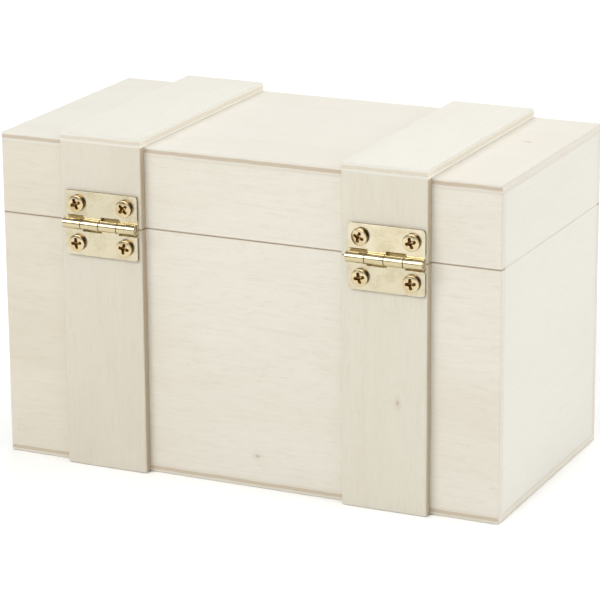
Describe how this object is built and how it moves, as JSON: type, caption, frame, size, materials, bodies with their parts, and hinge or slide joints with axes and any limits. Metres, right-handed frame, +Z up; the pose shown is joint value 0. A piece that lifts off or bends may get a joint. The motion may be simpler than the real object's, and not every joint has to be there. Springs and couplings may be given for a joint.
{
  "type": "wooden money box",
  "caption": "Small plywood trunk-shaped money box with flat straps, a hinged lid on brass butt hinges, a coin slot and a hook latch.",
  "frame": {"origin": "middle of the underside of the bottom panel, on the plane that the box stands on", "axes": "+Z up; +X along the length, to the right for someone facing the front; -Y is the front with the coin slot and latch, +Y the back with the hinges"},
  "size_m": [0.18, 0.1021, 0.1158],
  "materials": {
    "panel_ply": "bare sanded poplar plywood",
    "strap_ply": "bare sanded poplar plywood",
    "hinge_brass": "polished brass sheet",
    "screw_brass": "yellow brass plated",
    "latch_brass": "polished brass sheet"
  },
  "bodies": {
    "base": {"base_bottom_panel": "panel_ply", "base_front_panel": "panel_ply", "base_back_panel": "panel_ply", "base_left_panel": "panel_ply", "base_right_panel": "panel_ply", "base_back_strap_left": "strap_ply", "base_back_strap_right": "strap_ply", "base_front_strap_left": "strap_ply", "base_front_strap_right": "strap_ply", "hinge_lower_leaf_left": "hinge_brass", "hinge_lower_leaf_right": "hinge_brass", "hinge_pin_left": "hinge_brass", "hinge_pin_right": "hinge_brass", "hinge_lower_screw_left_1": "screw_brass", "hinge_lower_screw_left_2": "screw_brass", "hinge_lower_screw_right_1": "screw_brass", "hinge_lower_screw_right_2": "screw_brass", "latch_hook_plate": "latch_brass", "latch_hook_plate_tack_1": "latch_brass", "latch_hook_plate_tack_2": "latch_brass", "latch_pivot_rivet": "latch_brass"},
    "lid": {"lid_top_panel": "panel_ply", "lid_front_panel": "panel_ply", "lid_back_panel": "panel_ply", "lid_left_panel": "panel_ply", "lid_right_panel": "panel_ply", "lid_back_strap_left": "strap_ply", "lid_back_strap_right": "strap_ply", "lid_top_strap_left": "strap_ply", "lid_top_strap_right": "strap_ply", "lid_front_strap_left": "strap_ply", "lid_front_strap_right": "strap_ply", "hinge_upper_leaf_left": "hinge_brass", "hinge_upper_leaf_right": "hinge_brass", "hinge_upper_screw_left_1": "screw_brass", "hinge_upper_screw_left_2": "screw_brass", "hinge_upper_screw_right_1": "screw_brass", "hinge_upper_screw_right_2": "screw_brass", "latch_catch_plate": "latch_brass", "latch_catch_plate_tack_1": "latch_brass", "latch_catch_plate_tack_2": "latch_brass", "latch_catch_stud": "latch_brass"},
    "hook": {"latch_hook": "latch_brass"}
  },
  "joints": [
    {"name": "lid_hinge", "type": "hinge", "parent": "base", "child": "lid", "pos_m": [0, 0.0504, 0.0855], "axis": [-1, 0, 0], "range_deg": [0, 165]},
    {"name": "hook_pivot", "type": "hinge", "parent": "base", "child": "hook", "pos_m": [0, -0.0464, 0.0765], "axis": [0, -1, 0], "range_deg": [0, 180]}
  ]
}
